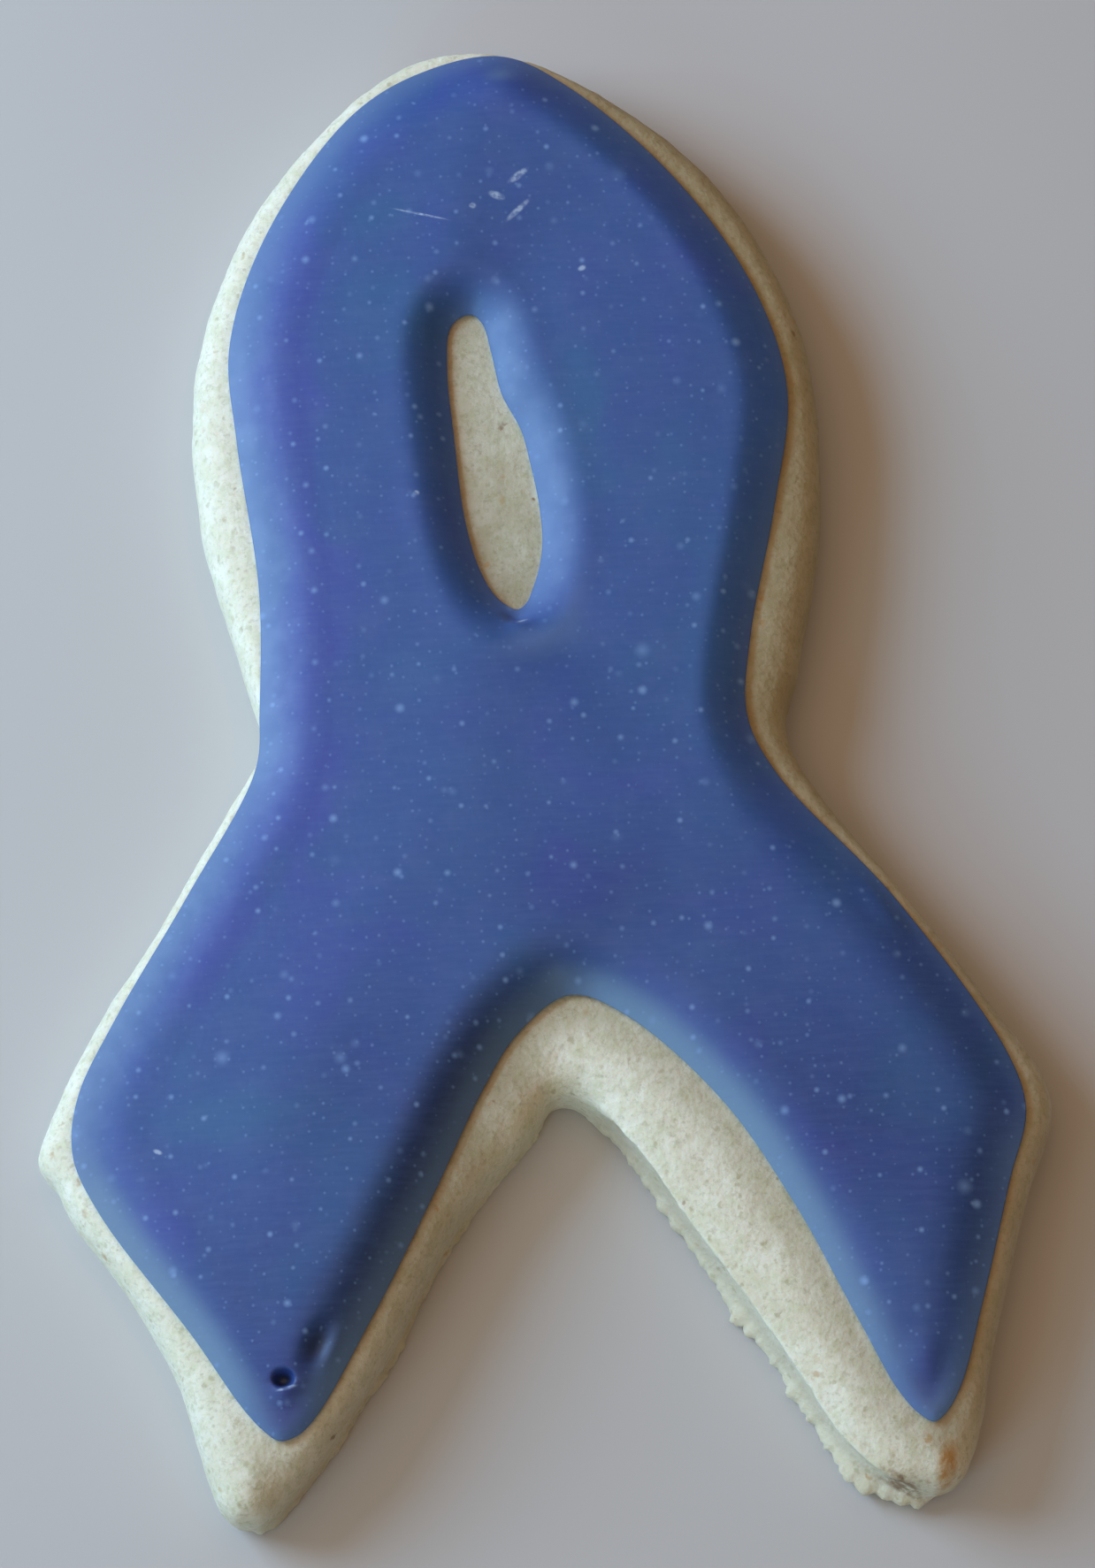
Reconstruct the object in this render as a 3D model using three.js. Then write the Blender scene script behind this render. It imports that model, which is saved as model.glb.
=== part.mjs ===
// An iced sugar cookie, cut as a looped ribbon with two spread legs.
// Two solids: the baked biscuit, and the layer of set icing that lies on its flat top.
// Millimetres, +Z up. The biscuit rests on z = 0 and the loop points towards +Y.

import * as THREE from 'three';

// ------------------------------------------------------------------ driving sizes

const biscuit = {
  thickness: 6.5,
  widest: 2.8, // height at which the wall stands out most
  shoulder: 5.0, // height at which the wall turns into the top
  tuck: 0.5, // how far the underside's edge draws in
  leastMargin: 0.35, // bare rim kept where the icing reaches the edge
  roundOver: 2.6, // the most that the top's edge rounds over, where the bare rim is wide
  topPower: 3.5, // how long the top stays level before it rounds over
  edgePower: 2.5, // how tightly it rounds over
  waviness: 0.12, // unevenness of wall and bare top
  outlineStep: 1.2,
};

// The wall below its widest height: for each ring, the share of the tuck by which it draws
// in and the share of the lip's reach by which it stands out.
const lowerWall = [
  { height: 0, tuckShare: 1, lipShare: 1 },
  { height: 0.8, tuckShare: 0.3, lipShare: 1 },
  { height: 1.6, tuckShare: 0.1, lipShare: 0.1 },
];

// The thin lip that the cutter leaves round the base, between the legs: how far it stands
// out, and the crags on the right leg's, each with its place, half-length and extra reach.
const lip = {
  leftLeg: 0.5,
  rightLeg: 0.75,
  crotchX: 1, // divides the left leg from the right one
  crags: [
    { y: -33.4, half: 1.0, reach: 0.15 },
    { y: -35.9, half: 1.2, reach: 0.5 },
    { y: -41.0, half: 1.2, reach: 0.3 },
    { y: -46.3, half: 1.1, reach: 0.6 },
  ],
};

const icing = {
  gap: 0.1, // clearance to the biscuit's flat top
  thickness: 2.6,
  widest: 0.3, // height at which the rim stands out most, above its own underside
  rimRises: [0, 0.15, 0.3], // shares of the rise up to where the rim turns into the top
  undercut: [ // how far the rim draws in below its widest height
    { height: 0, inset: 0.3 },
    { height: 0.12, inset: 0.1 },
  ],
  shoulderWidth: 5.5, // distance over which the top slopes down to the rim
  topPower: 2.0,
  edgePower: 1.0,
  sag: 0.0016, // how much lower the top lies for each square mm away from the middle line
  beadHeight: 0.06, // piped line that shows faintly through the poured field
  beadInset: 2.8,
  beadWidth: 0.7,
  grooveDepth: 0.07, // slight sink just inside that line
  grooveInset: 4.4,
  grooveWidth: 1.0,
  swell: 0.12,
  outlineStep: 1.2,
  slotStep: 0.85,
};

// Bumps and pits in the icing: centre, half-length along `turn` degrees, half-width,
// height (below zero for a pit) and how steep its sides are.
const marks = {
  peak: { x: 0.8, y: 44.4, long: 2.8, wide: 1.5, turn: -8, height: 0.32, steepness: 1 },
  crotchRidge: { x: 1.0, y: -15.3, long: 2.1, wide: 0.9, turn: 28, height: 0.3, steepness: 1 },
  slotNib: { x: -0.2, y: 8.3, long: 0.8, wide: 0.5, turn: 0, height: -0.35, steepness: 1 },
  edgeLump: { x: 21.8, y: -12.0, long: 1.9, wide: 1.0, turn: -52, height: 0.25, steepness: 1 },
  rightTipBump: { x: 22.0, y: -40.6, long: 1.5, wide: 1.1, turn: 70, height: 0.18, steepness: 1 },
  bubble: { x: -17.0, y: -39.7, long: 0.8, wide: 0.66, turn: 0, height: -1.15, steepness: 3 },
  dent: { x: -14.9, y: -37.8, long: 1.35, wide: 0.62, turn: 58, height: -0.55, steepness: 1.4 },
};

// Outlines: the points that a closed, smooth curve runs through, anticlockwise.
const biscuitEdge = [
  // loop, from its top down the left side
  [1.4, 47.4], [-4.8, 47.4], [-11.4, 42.5], [-16.7, 35.6], [-19.9, 26.5], [-20.0, 16.5], [-17.8, 6.9],
  // left waist, outer edge and corner of the left leg
  [-16.7, 1.1], [-19.3, -3.4], [-24.4, -11.6], [-27.0, -15.2], [-29.7, -19.9], [-31.7, -25.0],
  [-30.7, -26.2], [-29.8, -28.3], [-26.6, -32.9], [-23.6, -38.8],
  // left tip, inner edge of the left leg, crotch
  [-20.8, -47.5], [-18.9, -47.9], [-17.0, -46.5], [-11.2, -38.9], [-5.9, -30.1], [-1.3, -24.8],
  [0.9, -22.4], [3.8, -24.0],
  // inner edge of the right leg and right tip
  [8.9, -31.4], [13.8, -39.2], [17.7, -45.6], [20.7, -47.8], [23.6, -48.0], [25.2, -45.4],
  // corner and outer edge of the right leg, right waist
  [26.9, -39.0], [29.7, -29.9], [31.5, -25.3], [31.2, -22.8], [28.9, -19.1], [24.1, -11.8],
  [18.7, -4.0], [16.7, 0.4],
  // loop, up the right side
  [17.8, 5.0], [19.9, 15.0], [19.5, 27.0], [15.7, 36.3], [9.3, 43.2],
];

const icingEdge = [
  // loop, from its top down the left side
  [1.0, 46.7], [-4.6, 45.7], [-9.1, 42.9], [-14.8, 35.1], [-17.5, 27.5], [-17.3, 21.0], [-16.3, 11.0],
  // left waist, outer edge and corner of the left leg
  [-16.6, 3.0], [-17.0, -0.8], [-21.6, -8.8], [-26.4, -16.5], [-28.9, -21.4], [-29.3, -25.0],
  [-27.8, -28.7], [-22.4, -36.6],
  // left tip, inner edge of the left leg, crotch
  [-18.9, -42.0], [-17.2, -43.4], [-15.6, -42.6], [-11.3, -36.0], [-7.4, -29.0], [-3.7, -22.0],
  [-1.4, -18.7], [1.9, -16.5], [5.3, -18.0],
  // inner edge of the right leg and right tip
  [10.9, -23.7], [15.0, -30.6], [18.3, -37.8], [20.8, -42.9], [22.5, -44.4], [24.0, -42.8],
  // corner and outer edge of the right leg, right waist
  [26.0, -37.2], [28.3, -29.6], [29.6, -25.4], [28.8, -21.8], [22.6, -11.5], [15.7, -2.9],
  [14.1, 1.0],
  // loop, up the right side
  [14.6, 6.0], [16.8, 15.0], [18.1, 22.6], [16.5, 29.5], [12.0, 37.3], [5.3, 44.3],
];

// The slot in the icing, through which the biscuit shows.
const slotEdge = [
  // top, down the left side to the lower end
  [-2.0, 28.9], [-3.2, 28.1], [-3.6, 25.4], [-3.4, 20.5], [-3.0, 15.0], [-2.2, 11.5], [-1.1, 9.5],
  // lower end, up the right side
  [0.2, 8.8], [1.2, 10.5], [1.8, 12.8], [1.8, 15.4], [1.4, 18.3], [0.9, 20.8], [-0.2, 23.3],
  [-0.7, 26.0], [-1.2, 28.2],
];

// How points are spread over a top: rings that follow its edges at these distances, then an
// even grid. Two points of a ring keep `ringGap` apart, and more by `gapGrowth` further in.
const biscuitSpread = { rings: [0.5, 1.1, 1.9, 2.9, 4.1], ringGap: 0.45, gapGrowth: 0.12, grid: 6 };
const icingSpread = { rings: [1.5, 2.3, 3.3, 4.5], ringGap: 0.45, gapGrowth: 0.2, grid: 2.6 };
const nearest = 0.35; // the least gap to points of another kind, such as an edge

// ------------------------------------------------------------------ outlines

// A smooth closed curve through points, cut into even steps. Going along it, the
// material is on the left: anticlockwise round a piece, clockwise round a hole.
class Outline {
  constructor(points, step, isHole = false) {
    const knots = points.map(([x, y]) => new THREE.Vector3(x, y, 0));
    if (isHole) knots.reverse();
    const curve = new THREE.CatmullRomCurve3(knots, true, 'centripetal');
    curve.arcLengthDivisions = 1200;
    this.length = curve.getLength();
    const count = Math.round(this.length / step);
    this.points = curve.getSpacedPoints(count).slice(0, count).map((p) => new THREE.Vector2(p.x, p.y));
    this.inward = this.points.map((_, i) => {
      const before = this.points[(i + count - 1) % count];
      const after = this.points[(i + 1) % count];
      return new THREE.Vector2(before.y - after.y, after.x - before.x).normalize();
    });
  }

  // The outline moved into the material by `inset`, which may differ from point to point.
  moved(inset) {
    return this.points.map((p, i) => p.clone().addScaledVector(this.inward[i], inset(i)));
  }

  // Distance along the curve to point i.
  along(i) {
    return (i / this.points.length) * this.length;
  }

  distance(x, y) {
    let least = Infinity;
    this.points.forEach((a, i) => {
      const b = this.points[(i + 1) % this.points.length];
      const [dx, dy] = [b.x - a.x, b.y - a.y];
      const t = THREE.MathUtils.clamp(((x - a.x) * dx + (y - a.y) * dy) / (dx * dx + dy * dy), 0, 1);
      least = Math.min(least, Math.hypot(x - a.x - t * dx, y - a.y - t * dy));
    });
    return least;
  }

  encloses(x, y) {
    return isInside(x, y, this.points);
  }
}

function isInside(x, y, ring) {
  let inside = false;
  ring.forEach((a, i) => {
    const b = ring[(i + 1) % ring.length];
    if ((a.y > y) !== (b.y > y) && x < a.x + ((y - a.y) / (b.y - a.y)) * (b.x - a.x)) inside = !inside;
  });
  return inside;
}

// ------------------------------------------------------------------ height functions

// 0 at an edge, 1 at `width` from it, rounding over between the two.
function crown(inset, width, topPower, edgePower) {
  const remaining = 1 - THREE.MathUtils.clamp(inset / width, 0, 1);
  return (1 - remaining ** topPower) ** (1 / edgePower);
}

// The distance from the edge at which crown() reaches `rise`.
function insetAtRise(rise, width, topPower, edgePower) {
  return width * (1 - (1 - rise ** edgePower) ** (1 / topPower));
}

// A gentle unevenness between -1 and 1, with features of about `size`.
function ripple(x, y, size) {
  const k = (2 * Math.PI) / size;
  return (
    Math.sin(k * (x + 0.31 * y) + 1.3) +
    Math.sin(k * (0.83 * y - 0.42 * x) + 4.1) +
    Math.sin(k * (0.57 * x + 0.66 * y) * 1.37 + 2.2)
  ) / 3;
}

function bump(x, y, mark) {
  const turn = THREE.MathUtils.degToRad(mark.turn);
  const [dx, dy] = [x - mark.x, y - mark.y];
  const u = (dx * Math.cos(turn) + dy * Math.sin(turn)) / mark.long;
  const v = (dy * Math.cos(turn) - dx * Math.sin(turn)) / mark.wide;
  return mark.height * Math.exp(-((u * u + v * v) ** mark.steepness));
}

// ------------------------------------------------------------------ meshing

// Delaunay triangles over points in the plane, each anticlockwise.
function delaunay(points) {
  const count = points.length;
  const reach = 5000;
  const all = [
    ...points,
    new THREE.Vector2(-reach, -reach),
    new THREE.Vector2(reach, -reach),
    new THREE.Vector2(0, reach),
  ];
  const withCircle = (a, b, c) => {
    const [p, q, r] = [all[a], all[b], all[c]];
    const [bx, by, cx, cy] = [q.x - p.x, q.y - p.y, r.x - p.x, r.y - p.y];
    const twice = 2 * (bx * cy - by * cx);
    const ux = (cy * (bx * bx + by * by) - by * (cx * cx + cy * cy)) / twice;
    const uy = (bx * (cx * cx + cy * cy) - cx * (bx * bx + by * by)) / twice;
    return { corners: [a, b, c], x: p.x + ux, y: p.y + uy, square: ux * ux + uy * uy };
  };
  let triangles = [withCircle(count, count + 1, count + 2)];
  points.forEach((point, index) => {
    const rim = new Map();
    triangles = triangles.filter((t) => {
      if ((point.x - t.x) ** 2 + (point.y - t.y) ** 2 >= t.square) return true;
      t.corners.forEach((from, k) => {
        const to = t.corners[(k + 1) % 3];
        if (!rim.delete(`${to},${from}`)) rim.set(`${from},${to}`, [from, to]);
      });
      return false;
    });
    rim.forEach(([from, to]) => triangles.push(withCircle(from, to, index)));
  });
  return triangles.map((t) => t.corners).filter((corners) => corners.every((c) => c < count));
}

// Keeps a candidate only where it stays `gap` clear of every point kept so far.
function addSpaced(kept, candidates, gap) {
  candidates.forEach((c) => {
    if (kept.every((p) => p.distanceTo(c) >= gap)) kept.push(c);
  });
}

// Even triangular grid of points over a region, shaken a little so that no four share a circle.
function gridPoints(edge, step, isWanted) {
  const box = new THREE.Box2().setFromPoints(edge.points);
  const found = [];
  let row = 0;
  for (let y = box.min.y; y < box.max.y; y += step * Math.sqrt(0.75)) {
    row += 1;
    for (let x = box.min.x + (row % 2) * 0.5 * step; x < box.max.x; x += step) {
      const shake = 0.12 * step * ripple(x, y, 2.7 * step);
      if (edge.encloses(x, y) && isWanted(x, y)) found.push(new THREE.Vector2(x + shake, y - shake));
    }
  }
  return found;
}

// A closed solid with a flat underside. Each loop is a list of rings, lowest first, all
// with the same number of points; `z` gives the height at a ring's point. The first loop is
// the outside and the others are holes. The top runs over the highest rings and `field`,
// the points between them.
function solid(name, loops, field, topHeight, material) {
  const positions = [];
  const faces = [];
  const add = (p, z) => positions.push(p.x, p.y, z) / 3 - 1;

  const indexed = loops.map((rings) => rings.map(({ points, z }) => points.map((p) => add(p, z(p)))));
  indexed.forEach((rings) => {
    for (let level = 1; level < rings.length; level += 1) {
      const [low, high] = [rings[level - 1], rings[level]];
      low.forEach((_, i) => {
        const next = (i + 1) % low.length;
        faces.push([low[i], low[next], high[next]], [low[i], high[next], high[i]]);
      });
    }
  });

  const [outside, ...holes] = loops.map((rings) => rings[0].points);
  const underIndex = indexed.flatMap((rings) => rings[0]);
  THREE.ShapeUtils.triangulateShape(outside.slice(), holes.map((hole) => hole.slice()))
    .forEach(([a, b, c]) => faces.push([underIndex[a], underIndex[c], underIndex[b]]));

  const crest = loops.map((rings) => rings[rings.length - 1].points);
  const topPoints = [...crest.flat(), ...field];
  const topIndex = [
    ...indexed.flatMap((rings) => rings[rings.length - 1]),
    ...field.map((p) => add(p, topHeight(p.x, p.y))),
  ];
  delaunay(topPoints).forEach((corners) => {
    const x = corners.reduce((sum, c) => sum + topPoints[c].x, 0) / 3;
    const y = corners.reduce((sum, c) => sum + topPoints[c].y, 0) / 3;
    const isOn = isInside(x, y, crest[0]) && !crest.slice(1).some((hole) => isInside(x, y, hole));
    if (isOn) faces.push(corners.map((c) => topIndex[c]));
  });

  const geometry = new THREE.BufferGeometry();
  geometry.setAttribute('position', new THREE.Float32BufferAttribute(positions, 3));
  geometry.setIndex(faces.flat());
  geometry.computeVertexNormals();
  const mesh = new THREE.Mesh(geometry, material);
  mesh.name = name;
  return mesh;
}

// ------------------------------------------------------------------ the two pieces

const biscuitOutline = new Outline(biscuitEdge, biscuit.outlineStep);
const icingOutline = new Outline(icingEdge, icing.outlineStep);
const slotOutline = new Outline(slotEdge, icing.slotStep, true);

// Width of the bare rim that a point near the biscuit's edge lies in.
function marginAt(x, y, inset) {
  const toIcing = icingOutline.encloses(x, y) ? 0 : icingOutline.distance(x, y);
  return Math.max(inset + toIcing, biscuit.leastMargin);
}

// Width over which the top's edge rounds over, in a bare rim that wide.
function roundOver(margin) {
  return Math.min(margin, biscuit.roundOver);
}

function biscuitHeight(x, y) {
  if (icingOutline.encloses(x, y)) return biscuit.thickness;
  const inset = biscuitOutline.distance(x, y);
  const margin = marginAt(x, y, inset);
  const rise = crown(inset, roundOver(margin), biscuit.topPower, biscuit.edgePower);
  const toIcing = margin - inset;
  const sink = biscuit.waviness * Math.min(toIcing, 1) * (1 + ripple(x, y, 7)) * 0.5;
  return biscuit.widest + (biscuit.thickness - biscuit.widest) * rise - sink;
}

// How far the lip at the base stands out at point i of the biscuit's outline. It runs
// along the edges that face the space between the legs, and is ragged on the right leg.
function lipReach(i) {
  const { lerp, smoothstep } = THREE.MathUtils;
  const { x, y } = biscuitOutline.points[i];
  const inward = biscuitOutline.inward[i];
  const facesGap = smoothstep(Math.sign(x - lip.crotchX) * inward.x, -0.35, 0.1);
  const isOnLegs = smoothstep(-y, 20, 24) * smoothstep(inward.y, 0.1, 0.4);
  const onRightLeg = smoothstep(x, 3, 9);
  const ragged = lip.crags.reduce((sum, crag) => (
    sum + crag.reach * Math.exp(-(((y - crag.y) / crag.half) ** 2))
  ), lip.rightLeg);
  return facesGap * isOnLegs * lerp(lip.leftLeg, ragged, onRightLeg);
}

function makeBiscuit() {
  const reach = biscuitOutline.points.map((_, i) => lipReach(i));
  const wave = biscuitOutline.points.map((p) => biscuit.waviness * ripple(p.x, p.y, 9));
  const rounding = biscuitOutline.points.map((p) => roundOver(marginAt(p.x, p.y, 0)));
  const ring = (height, inset) => ({ z: () => height, points: biscuitOutline.moved(inset) });
  const upper = (height) => {
    const rise = (height - biscuit.widest) / (biscuit.thickness - biscuit.widest);
    return ring(height, (i) => insetAtRise(rise, rounding[i], biscuit.topPower, biscuit.edgePower));
  };
  const lower = ({ height, tuckShare, lipShare }) => (
    ring(height, (i) => tuckShare * biscuit.tuck - lipShare * reach[i] + wave[i])
  );
  const wall = [
    ...lowerWall.map(lower),
    ring(biscuit.widest, () => 0),
    upper(0.5 * (biscuit.widest + biscuit.shoulder)),
    upper(biscuit.shoulder),
  ];
  const crest = wall[wall.length - 1].points;
  const { rings, ringGap, gapGrowth, grid } = biscuitSpread;
  const top = [...crest];
  const isOnTop = (p) => isInside(p.x, p.y, crest) && biscuitOutline.distance(p.x, p.y) > nearest;
  addSpaced(top, icingOutline.points.filter(isOnTop), nearest);
  rings.forEach((inset) => {
    const isBare = (p) => (
      isOnTop(p) && !icingOutline.encloses(p.x, p.y)
      && icingOutline.distance(p.x, p.y) > nearest && biscuitOutline.distance(p.x, p.y) > 0.85 * inset
    );
    addSpaced(top, biscuitOutline.moved(() => inset).filter(isBare), ringGap + gapGrowth * inset);
  });
  const isCovered = (x, y) => icingOutline.encloses(x, y) && icingOutline.distance(x, y) > 0.4 * grid;
  addSpaced(top, gridPoints(biscuitOutline, grid, isCovered), 0.6 * grid);
  const material = new THREE.MeshStandardMaterial({ color: 0xe3dcc4, roughness: 0.9, metalness: 0 });
  return solid('biscuit', [wall], top.slice(crest.length), biscuitHeight, material);
}

const icingUnderside = biscuit.thickness + icing.gap;

// Distance to the nearer of the icing's two edges.
function icingInset(x, y) {
  return Math.min(icingOutline.distance(x, y), slotOutline.distance(x, y));
}

// Height of the pillow-like top where it has risen by this share, without its finer shape.
function pillowHeight(x, rise) {
  const middle = icing.thickness - icing.sag * x * x;
  return icingUnderside + icing.widest + (middle - icing.widest) * rise;
}

function icingHeight(x, y) {
  const inset = icingInset(x, y);
  const rise = crown(inset, icing.shoulderWidth, icing.topPower, icing.edgePower);
  const bead = icing.beadHeight * Math.exp(-(((inset - icing.beadInset) / icing.beadWidth) ** 2));
  const groove = icing.grooveDepth * Math.exp(-(((inset - icing.grooveInset) / icing.grooveWidth) ** 2));
  const swell = icing.swell * rise * ripple(x, y, 21);
  const spots = Object.values(marks).reduce((sum, mark) => sum + bump(x, y, mark), 0);
  return pillowHeight(x, rise) + bead - groove + swell + rise * spots;
}

function makeIcing() {
  const rimRings = (edge) => {
    const lower = ({ height, inset }) => (
      { z: () => icingUnderside + height, points: edge.moved(() => inset) }
    );
    const upper = (rise) => {
      const inset = insetAtRise(rise, icing.shoulderWidth, icing.topPower, icing.edgePower);
      return { z: (p) => pillowHeight(p.x, rise), points: edge.moved(() => inset) };
    };
    return [...icing.undercut.map(lower), ...icing.rimRises.map(upper)];
  };
  const loops = [rimRings(icingOutline), rimRings(slotOutline)];
  const crests = loops.map((loop) => loop[loop.length - 1].points);
  const { rings, ringGap, gapGrowth, grid } = icingSpread;
  const top = crests.flat();
  const isOnTop = (p, inset) => (
    isInside(p.x, p.y, crests[0]) && !isInside(p.x, p.y, crests[1]) && icingInset(p.x, p.y) > inset
  );
  Object.values(marks).forEach((mark) => {
    const points = spotPoints(mark).filter((p) => isOnTop(p, 0.7 * rings[0]));
    addSpaced(top, points, 0.38 * Math.sqrt(mark.long * mark.wide));
  });
  rings.forEach((inset) => {
    const candidates = [icingOutline, slotOutline].flatMap((edge) => edge.moved(() => inset));
    addSpaced(top, candidates.filter((p) => isOnTop(p, 0.9 * inset)), ringGap + gapGrowth * inset);
  });
  const lastRing = rings[rings.length - 1];
  const isField = (x, y) => isOnTop({ x, y }, lastRing + nearest);
  addSpaced(top, gridPoints(icingOutline, grid, isField), 0.55 * grid);
  const material = new THREE.MeshStandardMaterial({ color: 0x46619f, roughness: 0.35, metalness: 0 });
  return solid('icing', loops, top.slice(crests.flat().length), icingHeight, material);
}

// A mark's centre and rings of points round it, close enough to carry its shape.
function spotPoints(mark) {
  const turn = THREE.MathUtils.degToRad(mark.turn);
  const found = [new THREE.Vector2(mark.x, mark.y)];
  [0.62, 1.15, 1.8].forEach((scale, ring) => {
    const count = 8 + 2 * ring;
    for (let k = 0; k < count; k += 1) {
      const angle = (2 * Math.PI * (k + 0.5 * ring)) / count;
      const [u, v] = [scale * mark.long * Math.cos(angle), scale * mark.wide * Math.sin(angle)];
      found.push(new THREE.Vector2(
        mark.x + u * Math.cos(turn) - v * Math.sin(turn),
        mark.y + u * Math.sin(turn) + v * Math.cos(turn),
      ));
    }
  });
  return found;
}

// ------------------------------------------------------------------ the cookie

const cookie = new THREE.Group();
cookie.add(makeBiscuit(), makeIcing());

// The origin is the middle of the cookie's box, on the surface it rests on.
const middle = new THREE.Box3().setFromObject(cookie).getCenter(new THREE.Vector3());
cookie.children.forEach((mesh) => mesh.geometry.translate(-middle.x, -middle.y, 0));

export default cookie;
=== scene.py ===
"""The looks of an iced sugar cookie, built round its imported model.

Sizes are in millimetres, in the model's frame, and become metres as each mesh is made.
Turns are in degrees, anticlockwise as seen from above.
"""

import math

import bpy
import numpy as np
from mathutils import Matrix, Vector, geometry, kdtree, noise


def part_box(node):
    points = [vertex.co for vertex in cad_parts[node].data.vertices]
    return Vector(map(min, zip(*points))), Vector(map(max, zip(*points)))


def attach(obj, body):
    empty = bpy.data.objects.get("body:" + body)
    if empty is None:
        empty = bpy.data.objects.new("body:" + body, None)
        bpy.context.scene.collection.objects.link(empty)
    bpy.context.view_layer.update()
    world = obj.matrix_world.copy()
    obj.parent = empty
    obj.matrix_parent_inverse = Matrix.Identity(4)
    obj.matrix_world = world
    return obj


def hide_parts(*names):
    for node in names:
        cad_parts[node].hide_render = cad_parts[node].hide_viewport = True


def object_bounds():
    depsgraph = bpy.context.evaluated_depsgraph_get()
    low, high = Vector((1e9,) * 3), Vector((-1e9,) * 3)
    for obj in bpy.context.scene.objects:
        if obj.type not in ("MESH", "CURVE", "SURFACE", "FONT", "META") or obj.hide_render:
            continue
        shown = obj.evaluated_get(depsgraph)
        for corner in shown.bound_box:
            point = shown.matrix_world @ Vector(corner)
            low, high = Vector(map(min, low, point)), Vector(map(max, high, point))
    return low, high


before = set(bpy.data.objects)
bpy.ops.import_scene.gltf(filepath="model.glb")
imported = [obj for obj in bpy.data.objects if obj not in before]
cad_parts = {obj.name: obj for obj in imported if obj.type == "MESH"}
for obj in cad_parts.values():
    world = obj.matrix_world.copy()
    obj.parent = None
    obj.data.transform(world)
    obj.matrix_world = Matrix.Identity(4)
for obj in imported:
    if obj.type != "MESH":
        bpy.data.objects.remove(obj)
cad_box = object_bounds()

MM = 0.001

# ------------------------------------------------------------------ sizes, in mm

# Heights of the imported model's rings of vertices.
BISCUIT_WIDEST = 2.8
BISCUIT_LIP = 0.8
ICING_WIDEST = 6.9

BISCUIT_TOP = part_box("biscuit")[1].z / MM

SAME = 0.001  # heights that differ by less are one

biscuit = {
    "edge_step": 0.26,
    "grid_step": 0.26,
    "covered_grid_step": 2.0,
    "underside_grid_step": 2.0,
    "shown": 0.7,  # how far the fine grid goes on under the icing
    "covered": 1.2,  # how far under the icing the coarse grid starts
    "least_margin": 0.35,  # least width of the rim that rounds over
    "round_over": 3.0,  # greatest width of it
    "rim_powers": (2.0, 3.0),  # how the rim rounds over, at the top and at the edge
    "last_rise": 0.78,  # share of the wall's upper part that rings follow, before the top's grid
    "tuck": 0.5,  # how far the wall leans in at the base
    "foot": 1.3,  # height of the lip at the base
    "foot_full": 0.2,  # share of that height up to which the lip doesn't draw in
    "lip_extra": 0.15,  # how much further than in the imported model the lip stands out
    "lip_starts": (0.05, 0.35),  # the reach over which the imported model's lip begins to count
    "relief_starts": (0.0, 0.9),  # heights between which the relief fades in
    "crest_gap": 0.6,  # between the last ring and the top's grid, in its steps
    "base_gap": 1.0,  # between the first ring and the underside's grid
    "blur": 0.45,
}

# Heights of the wall's rings, up to the widest one.
WALL_HEIGHTS = (0, 0.15, 0.4, 0.7, 1.0, 1.3, 1.6, 1.9, 2.2, 2.5, BISCUIT_WIDEST)

# The right leg's inner wall stands as the cutter left it: sharp at its top edge, hollow, and
# with a foot. Height and inset of its rings from the widest height up, the crease's included.
CUT_WALL = (
    (3.3, 0.30), (3.9, 0.27), (4.5, 0.18), (5.0, 0.07), (5.4, -0.03),
    (5.68, -0.09), (5.8, -0.02), (5.86, 0.14), (5.93, 0.32), (6.0, 0.52),
)
CUT_CREASE = 5.8
CUT_SLOPE = 2.8  # distance over which the top rises inside the crease
CUT_HOLLOW = 0.3
CUT_HOLLOW_FROM = 1.2  # height
CUT_FOOT = 2.2
CUT_STARTS = (1.5, 5.0)  # X between which the wall turns into the cut one
CUT_ENDS = (18.8, 21.8)  # X between which it turns back
CUT_LIP = (0.25, 0.55)  # how far the lip has to reach for a cut wall above it

icing = {
    "edge_step": 0.3,
    "grid_step": 0.42,
    "underside_grid_step": 3.0,
    "fine_step": 0.13,
    "fine_reach": 1.7,  # how far the fine grid goes on round a mark, in half-lengths
    "fine_gap": 1.8,  # how far from it the even grid starts
    "crest_gap": 0.55,
    "base_gap": 1.0,
    "sag": 0.0016,  # how much lower the top lies for each square mm away from the middle line
    "sunk": 0.12,  # how far the icing reaches into the biscuit, so that no gap shows
    "undercut": 0.22,
    "rim_insets": (0.06, 0.14, 0.24, 0.36),
    "bead_height": 0.02,
    "bead_inset": 2.8,
    "bead_width": 0.7,
    "groove_depth": 0.02,
    "groove_inset": 4.4,
    "groove_width": 1.0,
    "meeting_dip": 0.06,  # how much lower the top lies where the rises from both edges meet
    "meeting_blend": 0.12,  # difference between the two rises over which that dip fades
    "dip_starts": (1.5, 3.0),  # insets between which the dip fades in
    "bead_starts": (0.0, 1.0),  # the same for the bead and the groove
    "marks_start": (0.0, 1.2),
    "swell_starts": (0.0, 2.5),
    "blur": 1.6,  # of the distances from its edges
    "outline_left_blur": 2.5,  # of how much an edge faces left, or down
    "outline_down_blur": 1.0,
    "slot_left_blur": 1.5,
}

# The icing's wall below its widest height: shares of the height and of the undercut.
ICING_WALL = ((0, 1.0), (0.3, 0.85), (0.55, 0.5), (0.78, 0.15), (1, 0))

# Relief in layers of noise: height, size of its features and offset.
BISCUIT_RELIEF = ((0.07, 3.4, 3.0), (0.045, 1.3, 9.0), (0.035, 0.6, 4.0))
CUT_RELIEF = ((0.07, 1.6, 3.0), (0.04, 0.6, 8.0))
CUT_RELIEF_RINGS = 4  # it fades in over these rings
ICING_SWELL = ((0.09, 11.0, 2.0), (0.035, 4.5, 6.0))

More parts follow.
